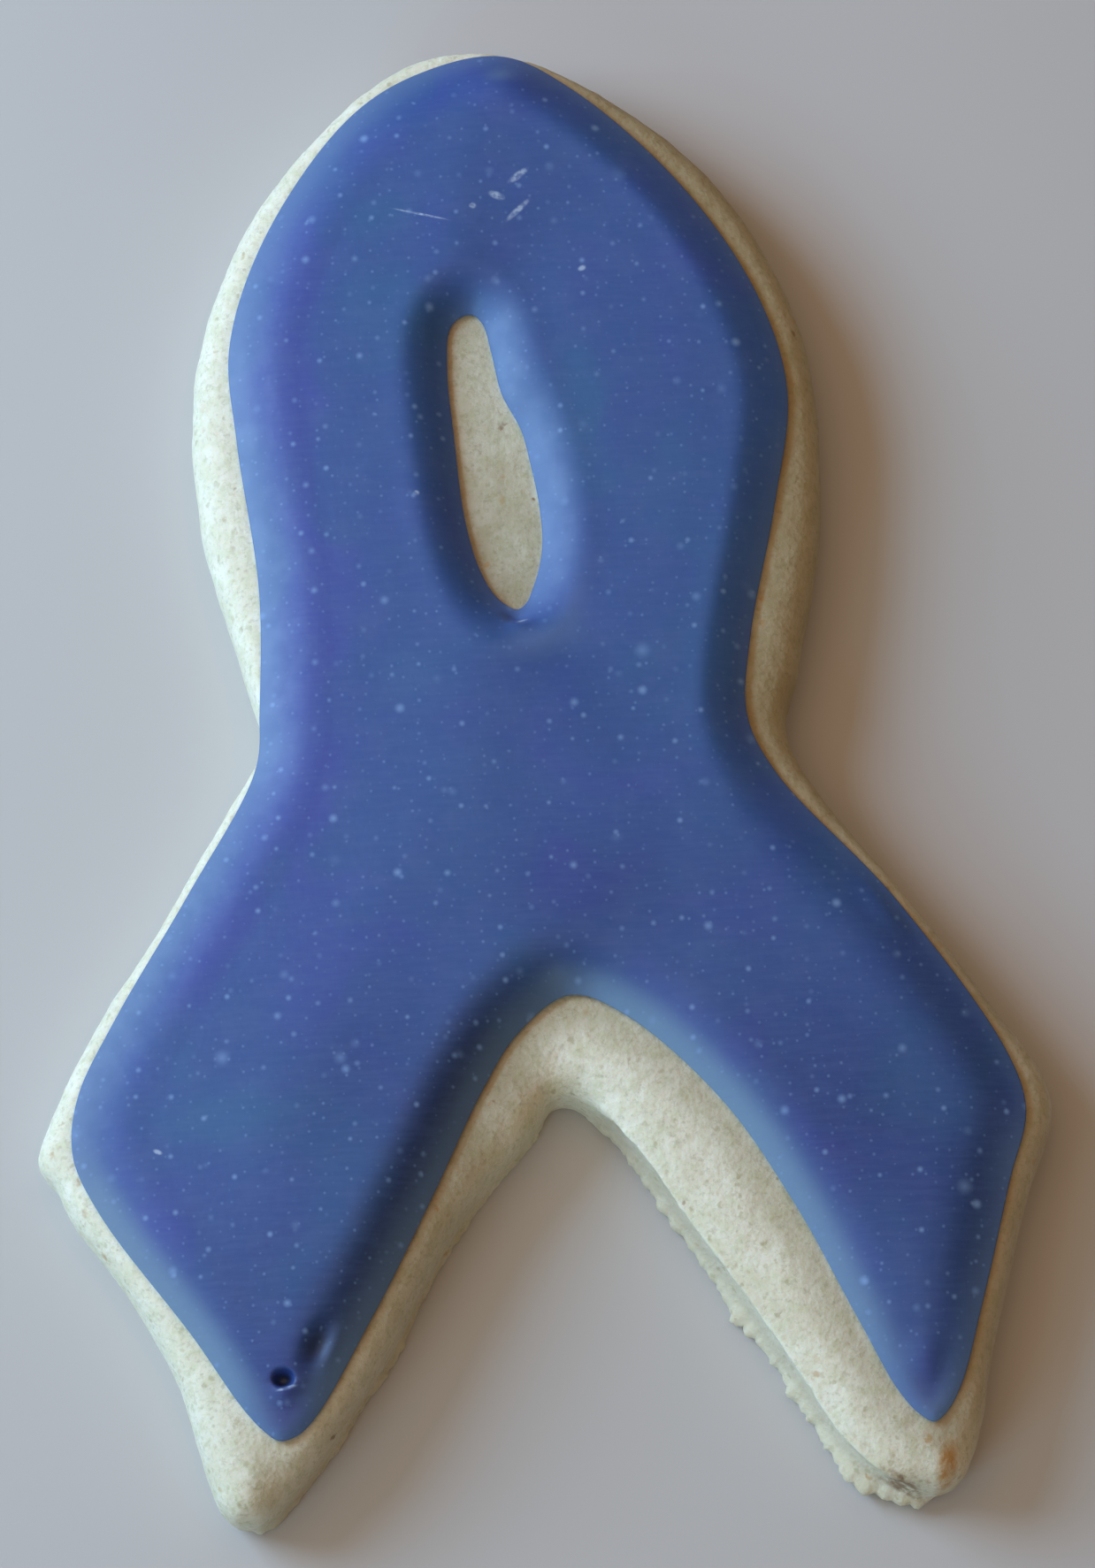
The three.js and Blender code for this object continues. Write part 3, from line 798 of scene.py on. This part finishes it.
def icing_height(xy):
    from_outline, from_slot = (np.maximum(field.at(xy), 0) for field in (outline_inset, slot_inset))
    inset = np.minimum(from_outline, from_slot)
    at_outline = risen(from_outline, outline_left(xy), slopes["outline"])
    at_slot = risen(from_slot, slot_left(xy), slopes["slot"])
    meeting = np.exp(-np.abs(at_outline - at_slot) / icing["meeting_blend"])
    dip = icing["meeting_dip"] * meeting * smoothstep(inset, *icing["dip_starts"])
    rise = np.minimum(at_outline, at_slot) - dip
    sag = icing["sag"] * xy[:, 0] ** 2 * rise / slopes["outline"]["steep"]["rise"]
    bead = icing["bead_height"] * ridge(inset, icing["bead_inset"], icing["bead_width"])
    groove = icing["groove_depth"] * ridge(inset, icing["groove_inset"], icing["groove_width"])
    ridges = smoothstep(inset, *icing["bead_starts"]) * (bead - groove)
    return ICING_WIDEST + rise - sag + ridges


def icing_top(xy):
    inset = icing_inset(xy)
    bumps = smoothstep(inset, *icing["marks_start"]) * spots(xy, marks, "height")
    swell = smoothstep(inset, *icing["swell_starts"]) * relief(flat_points(xy), ICING_SWELL)
    return icing_height(xy) + bumps + swell


def icing_stack(edge):
    """The rings of the icing's wall along one of its edges, and of the rim above it."""
    low = biscuit_surface.at(edge.moved(icing["undercut"])) - icing["sunk"]
    wall = [
        (edge.moved(inset * icing["undercut"]), lerp(low, ICING_WIDEST, share))
        for share, inset in ICING_WALL
    ]
    rim = [edge.moved(inset) for inset in icing["rim_insets"]]
    return wall + [(xy, icing_height(xy)) for xy in rim]


def icing_attributes(xy):
    """What the icing's material reads at each point."""
    x, y = xy.T
    inset = icing_inset(xy)
    is_outline = nearer_outline(xy)
    left = np.where(is_outline, outline_left(xy), slot_left(xy))
    violet, thin, sheer_and_lit, painted_edge_shade = (edge_looks[key] for key in ("violet", "thin", "sheer_and_lit", "painted_edge_shade"))
    # Painted sheen: a violet band inside the outline's edges that face -X, towards the window.
    painted_violet_sheen = left * is_outline * ridge(inset, violet["inset"], violet["width"])
    # A paler rim where the icing runs thin, partly painted light: wider and stronger on edges that
    # face -X.
    thin_and_lit_edge = lerp(*thin["amount"], left) * ridge(inset, 0, lerp(*thin["width"], left))
    # Paler teal where the dough shows through on edges that face -Y, partly painted light: stronger
    # on edges that face -X.
    sheer_and_lit_edge = lerp(*sheer_and_lit["amount"], left) * fading(inset, *sheer_and_lit["fades"])
    sheer_and_lit_edge *= is_outline * outline_down(xy)
    for tip in opaque_tips.values():
        sheer_and_lit_edge *= 1 - spot(xy, **tip)
    # Painted shade: darker bands on the legs' edges that face +X, away from the window.
    painted_edge_shade_share = lerp(*painted_edge_shade["amount"], left) * fading(inset, *painted_edge_shade["fades"])
    on_legs = smoothstep(-y, *PAINTED_SHADE_STARTS) * lerp(1, RIGHT_LEG_PAINTED_SHADE, smoothstep(x, *RIGHT_LEG_STARTS))
    return {
        "tint_and_sheen": spots(xy, tints) + violet["amount"] * painted_violet_sheen,
        "thin": np.maximum(thin_and_lit_edge, spots(xy, lit_patches)),
        "sheer_and_lit": sheer_and_lit_edge + spots(xy, painted_highlights),
        "patch_shade": spots(xy, painted_shade_patches),
        "painted_edge_shade": painted_edge_shade_share * on_legs,
    }


def make_icing():
    stacks = [icing_stack(icing_edge), icing_stack(slot_edge)]
    crests = [Edge(stack[-1][0]) for stack in stacks]
    bases = [Edge(stack[0][0]) for stack in stacks]
    fine = [(marks[name]["at"], max(marks[name]["half"])) for name in FINE_MARKS]

    def is_top(xy):
        inset = np.minimum(crests[0].inset(xy), crests[1].inset(xy))
        return inset > icing["crest_gap"] * icing["grid_step"]

    def is_plain(xy):
        away = [np.linalg.norm(xy - np.array(centre), axis=1) / half for centre, half in fine]
        return is_top(xy) & (np.min(away, axis=0) > icing["fine_gap"])

    def is_under(xy):
        return np.minimum(bases[0].inset(xy), bases[1].inset(xy)) > icing["base_gap"]

    close = np.vstack([
        near(centre, icing["fine_reach"] * half, icing["fine_step"]) for centre, half in fine
    ])
    top_xy = np.vstack([grid_points(icing["grid_step"], is_plain), close[is_top(close)]])
    under_xy = grid_points(icing["underside_grid_step"], is_under)
    shell = Shell(stacks, top_xy, icing_top, under_xy)
    made = shell.piece("cookie_icing", icing_attributes(shell.points[:, :2]))
    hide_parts("icing")
    return made


# ------------------------------------------------------------------ materials


class Nodes:
    """A material's node tree, with its sizes in mm."""

    def __init__(self, name):
        self.material = bpy.data.materials.new(name)
        self.material.use_nodes = True
        self.tree = self.material.node_tree
        self.tree.nodes.clear()
        coordinates = self.add("ShaderNodeTexCoord")
        self.position = self.vector("MULTIPLY", coordinates.outputs["Object"], (1 / MM,) * 3)

    def put(self, node, key, value):
        """Links or sets one of a node's inputs."""
        if isinstance(value, bpy.types.NodeSocket):
            self.tree.links.new(value, node.inputs[key])
        else:
            node.inputs[key].default_value = value

    def add(self, kind, inputs=None, **settings):
        made = self.tree.nodes.new(kind)
        for key, value in settings.items():
            setattr(made, key, value)
        for key, value in (inputs or {}).items():
            self.put(made, key, value)
        return made

    def math(self, operation, a, b=0.0):
        return self.add("ShaderNodeMath", {0: a, 1: b}, operation=operation).outputs[0]

    def times(self, a, b):
        return self.math("MULTIPLY", a, b)

    def vector(self, operation, a, b):
        return self.add("ShaderNodeVectorMath", {0: a, 1: b}, operation=operation).outputs[0]

    def stretched(self, turn, along, across):
        """The position turned by degrees and squeezed, for noise that runs one way."""
        return self.add("ShaderNodeMapping", {
            "Vector": self.position,
            "Rotation": (0, 0, math.radians(turn)),
            "Scale": (1 / along, 1 / across, 1),
        }).outputs[0]

    def noise(self, size, detail=2.0, roughness=0.5, distortion=0.0, position=None):
        return self.add("ShaderNodeTexNoise", {
            "Vector": position or self.position, "Scale": 1 / size, "Detail": detail,
            "Roughness": roughness, "Distortion": distortion,
        }).outputs["Fac"]

    def mapped(self, value, low, high, to_low=0.0, to_high=1.0):
        return self.add("ShaderNodeMapRange", {
            "Value": value, "From Min": low, "From Max": high, "To Min": to_low, "To Max": to_high,
        }, interpolation_type="SMOOTHSTEP").outputs["Result"]

    def mixed(self, share, a, b, blend_type="MIX"):
        """Colour a, turning into b, or into a times b, as share goes from 0 to 1."""
        made = self.add("ShaderNodeMix", {"Factor": share}, data_type="RGBA", blend_type=blend_type)
        for key, colour in ((6, a), (7, b)):
            is_linked = isinstance(colour, bpy.types.NodeSocket)
            self.put(made, key, colour if is_linked else (*colour, 1))
        return made.outputs[2]

    def over(self, colour, cover, share, other, blend_type="MIX"):
        """The colour under another one, which covers it by `share` where cover is 1."""
        return self.mixed(self.times(cover, share), colour, other, blend_type)

    def attribute(self, name):
        return self.add("ShaderNodeAttribute", attribute_name=name).outputs["Fac"]

    def specks(self, spacing, radius, softness=0.5, flat=False, ragged=0.0):
        """Soft dots, 1 in their middle, of random sizes up to the radius."""
        position = self.position
        if ragged:
            stray = self.add("ShaderNodeTexNoise", {
                "Vector": position, "Scale": 0.6 / radius, "Detail": 2.0,
            })
            away = self.vector("SUBTRACT", stray.outputs["Color"], (0.5, 0.5, 0.5))
            position = self.vector("ADD", position, self.vector("MULTIPLY", away, (ragged,) * 3))
        cells = self.add(
            "ShaderNodeTexVoronoi",
            {"Vector": position, "Scale": 1 / spacing, "Randomness": 1.0},
            voronoi_dimensions="2D" if flat else "3D",
        )
        distance = self.times(cells.outputs["Distance"], spacing)
        tone = self.add("ShaderNodeSeparateColor", {"Color": cells.outputs["Color"]})
        size = self.mapped(tone.outputs["Red"], 0.0, 1.0, 0.3 * radius, radius)
        dot = self.mapped(self.math("SUBTRACT", size, distance), 0.0, softness * radius)
        return self.times(dot, self.mapped(tone.outputs["Green"], 0.0, 1.0, 0.25, 1.0))

    def blob(self, at, half, turn, softness=0.6):
        """1 inside an upright elliptical cylinder, with a soft edge."""
        offset = self.vector("SUBTRACT", self.position, (*at, 0.0))
        turned_offset = self.add("ShaderNodeVectorRotate", {
            "Vector": self.vector("MULTIPLY", offset, (1, 1, 0)), "Angle": -math.radians(turn),
        }, rotation_type="Z_AXIS").outputs[0]
        scaled = self.vector("DIVIDE", turned_offset, (*half, 1.0))
        length = self.add("ShaderNodeVectorMath", {0: scaled}, operation="LENGTH").outputs["Value"]
        return self.mapped(length, 1 - 0.5 * softness, 1 + 0.5 * softness, 1.0, 0.0)

    def bump(self, height, strength, distance):
        return self.add("ShaderNodeBump", {
            "Height": height, "Strength": strength, "Distance": distance * MM,
        }).outputs[0]

    def finish(self, **inputs):
        inputs = {key.replace("_", " "): value for key, value in inputs.items()}
        shader = self.add("ShaderNodeBsdfPrincipled", inputs)
        self.add("ShaderNodeOutputMaterial", {"Surface": shader.outputs[0]})
        return self.material


# Kinds of paler dots in the icing: spacing, radius, softness and how much they show.
ICING_DOTS = (
    (0.8, 0.16, 1.0, 0.38),
    (1.9, 0.28, 1.0, 0.65),
    (3.8, 0.44, 1.0, 0.75),
    (9.0, 0.75, 1.2, 0.6),
)


def icing_colour(n):
    steel = (0.028, 0.112, 0.285)
    plain = (0.032, 0.090, 0.290)
    indigo = (0.043, 0.073, 0.325)
    cloudy = (0.075, 0.13, 0.33)
    patch_shade_tone = (0.05, 0.27, 0.54)
    edge_shade_tone = (0.24, 0.22, 0.26)
    rim = (0.135, 0.225, 0.41)
    sheer_and_lit = (0.17, 0.28, 0.40)
    streaky = (0.10, 0.17, 0.38)
    pale = (0.22, 0.36, 0.64)
    white = (0.50, 0.60, 0.76)
    pit_shade_tone = (0.012, 0.02, 0.03)
    wander = n.mapped(n.noise(9.0, distortion=0.6), 0.3, 0.7, -0.6, 0.6)
    # The tint carries the painted violet sheen along edges that face the window, as well as the
    # icing's own violet and teal.
    lean = n.math("ADD", wander, n.attribute("tint_and_sheen"))
    colour = n.mixed(n.mapped(lean, -1.2, 0.0), steel, plain)
    colour = n.mixed(n.mapped(lean, 0.0, 1.2), colour, indigo)
    clouds = n.mapped(n.noise(2.6, 3.0, 0.6), 0.42, 0.72)
    colour = n.over(colour, clouds, 0.22, cloudy)
    # Painted shade: darker patches of icing.
    colour = n.mixed(n.attribute("patch_shade"), colour, patch_shade_tone, "MULTIPLY")
    # Painted shade: darker bands on the legs' edges that face away from the window.
    colour = n.mixed(n.attribute("painted_edge_shade"), colour, edge_shade_tone, "MULTIPLY")
    # A paler thin rim, partly painted light, and patches of painted light round the slot's low end.
    colour = n.over(colour, n.attribute("thin"), 0.8, rim)
    # Sheer rims, partly painted light, and painted highlights on the bump above the crotch and at the
    # peak.
    colour = n.over(colour, n.attribute("sheer_and_lit"), 0.7, sheer_and_lit)
    streaks = n.noise(1.0, roughness=0.6, position=n.stretched(32, 2.2, 0.28))
    colour = n.over(colour, n.mapped(streaks, 0.35, 0.7), 0.10, streaky)
    for spacing, radius, softness, share in ICING_DOTS:
        colour = n.over(colour, n.specks(spacing, radius, softness, flat=True), share, pale)
    patchy = n.mapped(n.noise(0.35), 0.35, 0.6, 0.2, 0.65)
    # Flecks stuck to the icing, and two painted glints.
    for white_spot in flecks_and_glints.values():
        colour = n.over(colour, n.blob(**white_spot, softness=1.0), patchy, white)
    # Painted shade on the floors of two pits.
    for name, floor in pit_shades.items():
        shade = n.blob(marks[name]["at"], floor["half"], marks[name]["turn"], softness=1.2)
        colour = n.over(colour, shade, floor["amount"], pit_shade_tone)
    return colour


def icing_material():
    n = Nodes("icing_set")
    pitting = n.math("ADD", n.noise(0.5), n.times(n.noise(1.6), 1.2))
    return n.finish(
        Base_Color=icing_colour(n),
        Roughness=n.mapped(n.noise(1.4), 0.3, 0.7, 0.47, 0.55),
        Normal=n.bump(pitting, strength=0.25, distance=0.05),
        Subsurface_Weight=0.12,
        Subsurface_Radius=(0.3, 0.5, 1.0),
        Subsurface_Scale=0.4 * MM,
        Specular_IOR_Level=0.5,
    )


def biscuit_colour(n):
    pale = (0.88, 0.83, 0.68)
    cream = (0.80, 0.74, 0.57)
    greenish = (0.70, 0.68, 0.46)
    dusty = (0.54, 0.49, 0.35)
    tan = (0.62, 0.50, 0.32)
    cut_wall_tan_and_shade = (0.56, 0.47, 0.34)
    foot_cream = (0.86, 0.78, 0.56)
    contact_shade_brown = (0.50, 0.27, 0.11)
    toast_brown = (0.50, 0.27, 0.09)
    olive = (0.40, 0.34, 0.17)
    brown = (0.24, 0.13, 0.06)
    slot_shade = (0.58, 0.55, 0.49)
    legs_and_tip_shade_tone = (0.72, 0.68, 0.63)
    away_shade = (0.56, 0.49, 0.38)
    colour = n.mixed(n.mapped(n.noise(2.4, 4.0, 0.6), 0.32, 0.68), pale, cream)
    colour = n.over(colour, n.mapped(n.noise(0.9, 4.0, 0.7), 0.44, 0.64), 0.6, greenish)
    colour = n.over(colour, n.mapped(n.noise(0.35, 3.0, 0.7), 0.5, 0.7), 0.5, dusty)
    colour = n.over(colour, n.mapped(n.noise(5.0, 3.0), 0.55, 0.75), 0.3, tan)
    # The cut wall's tan, partly a browner crumb and partly painted shade.
    colour = n.over(colour, n.attribute("cut"), 0.75, cut_wall_tan_and_shade)
    colour = n.over(colour, n.attribute("foot"), 0.4, foot_cream)
    # Painted shade in the slot, with a browner crumb there.
    colour = n.over(colour, n.attribute("in_slot"), 0.6, slot_shade, "MULTIPLY")
    # Painted shade beside the icing between the legs and at the left tip.
    colour = n.mixed(n.attribute("legs_and_tip_shade"), colour, legs_and_tip_shade_tone, "MULTIPLY")
    # Painted shade on the rim that faces away from the window.
    colour = n.mixed(n.attribute("away"), colour, away_shade, "MULTIPLY")
    # Painted shadow: a thin warm brown line beside the icing's edges that face away from the window.
    beside = n.mapped(n.attribute("to_icing"), 0.05, 0.7, 1.0, 0.0)
    uneven = n.mapped(n.noise(1.5), 0.3, 0.7, 0.05, 0.4)
    colour = n.over(colour, n.times(beside, n.attribute("shaded")), uneven, contact_shade_brown)
    for spacing, radius, softness, raggedness, share, speck in (
        (0.62, 0.27, 0.6, 0.6, 0.5, olive),
        (1.6, 0.36, 0.6, 0.8, 0.6, toast_brown),
        (2.8, 0.34, 0.5, 0.8, 0.8, brown),
    ):
        specks = n.specks(spacing, radius, softness, ragged=raggedness)
        colour = n.over(colour, specks, share, speck)
    ragged = n.mapped(n.noise(0.8, 3.0, 0.6), 0.35, 0.6)
    toast = n.times(n.blob(**toasted, softness=1.0), n.mapped(ragged, 0, 1, 0.6, 1.0))
    colour = n.over(colour, toast, 0.95, toast_brown)
    gap = n.times(n.blob(**crack, softness=1.0), ragged)
    return n.over(colour, gap, 0.8, brown)


def biscuit_material():
    n = Nodes("biscuit_crumb")
    cells = n.add("ShaderNodeTexVoronoi", {
        "Vector": n.position, "Scale": 1 / 0.38, "Randomness": 1.0,
    })
    crumb = n.math("ADD", n.noise(0.45, 3.0, 0.7), n.times(cells.outputs["Distance"], 0.5))
    return n.finish(
        Base_Color=biscuit_colour(n),
        Roughness=0.85,
        Normal=n.bump(crumb, strength=0.6, distance=0.1),
        Subsurface_Weight=0.2,
        Subsurface_Radius=(1.0, 0.6, 0.3),
        Subsurface_Scale=0.8 * MM,
        Specular_IOR_Level=0.3,
    )


def floor_material():
    n = Nodes("pale_floor")
    grey = (0.545, 0.515, 0.50)
    paler = (0.565, 0.53, 0.515)
    return n.finish(
        Base_Color=n.mixed(n.noise(60.0), grey, paler),
        Roughness=0.6,
        Specular_IOR_Level=0.3,
    )


# ------------------------------------------------------------------ stage, light, camera


def add_floor():
    bpy.ops.mesh.primitive_plane_add(size=6.0)
    floor = bpy.context.object
    floor.name = "floor"
    floor.data.materials.append(floor_material())


def direction(azimuth, elevation):
    """Unit vector from the cookie towards a viewpoint: azimuth 0 is towards -Y, 90 towards +X."""
    a, e = math.radians(azimuth), math.radians(elevation)
    return Vector((math.sin(a) * math.cos(e), -math.cos(a) * math.cos(e), math.sin(e)))


def aim(thing, target, azimuth, elevation, distance):
    """Puts a light or camera that far from its target, in metres, and turns it to face it."""
    towards = direction(azimuth, elevation)
    thing.location = target + towards * distance
    thing.rotation_mode = "QUATERNION"
    thing.rotation_quaternion = towards.to_track_quat("Z", "Y")
    bpy.context.scene.collection.objects.link(thing)


def add_disk_light(name, azimuth, elevation, distance, size, power, colour):
    """A round light, its distance and size in metres and its power in watts."""
    data = bpy.data.lights.new(name, "AREA")
    data.shape = "DISK"
    data.size = size
    data.energy = power
    data.color = colour
    aim(bpy.data.objects.new(name, data), Vector((0, 0, 0)), azimuth, elevation, distance)


def add_lights():
    add_disk_light(
        "window", azimuth=-112, elevation=34, distance=0.34, size=0.24, power=1.37,
        colour=(0.473, 0.726, 1.0),
    )
    add_disk_light(
        "sky", azimuth=-40, elevation=28, distance=0.45, size=0.2, power=0.45,
        colour=(0.35, 0.75, 1.0),
    )
    add_disk_light(
        "ceiling", azimuth=-90, elevation=82, distance=1.0, size=1.2, power=2.9,
        colour=(1.0, 0.71, 0.45),
    )
    warm_dim = (0.17, 0.125, 0.085, 1)
    world = bpy.data.worlds.new("warm_room")
    world.use_nodes = True
    world.node_tree.nodes["Background"].inputs["Color"].default_value = warm_dim
    bpy.context.scene.world = world


def add_camera():
    photo_size = (1238, 1773)
    pixels_per_mm = 17.95
    target_pixel_x = 605
    target = Vector((0.562, -2.059, 6.0))
    distance = 350
    data = bpy.data.cameras.new("camera")
    data.sensor_width = 36.0
    data.lens = data.sensor_width * pixels_per_mm * distance / max(photo_size)
    data.shift_x = (0.5 * photo_size[0] - target_pixel_x) / max(photo_size)
    data.clip_start = 0.01
    data.clip_end = 20.0
    camera = bpy.data.objects.new("camera", data)
    aim(camera, target * MM, azimuth=-3.2, elevation=74.0, distance=distance * MM)
    bpy.context.scene.camera = camera


# ------------------------------------------------------------------ the cookie

add_camera()
add_lights()
add_floor()
for made, slot, material in (
    (make_biscuit(), "biscuit", biscuit_material()),
    (make_icing(), "icing", icing_material()),
):
    made.data.materials.append(material)
    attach(made, "root")

bpy.context.scene.view_settings.view_transform = "Standard"
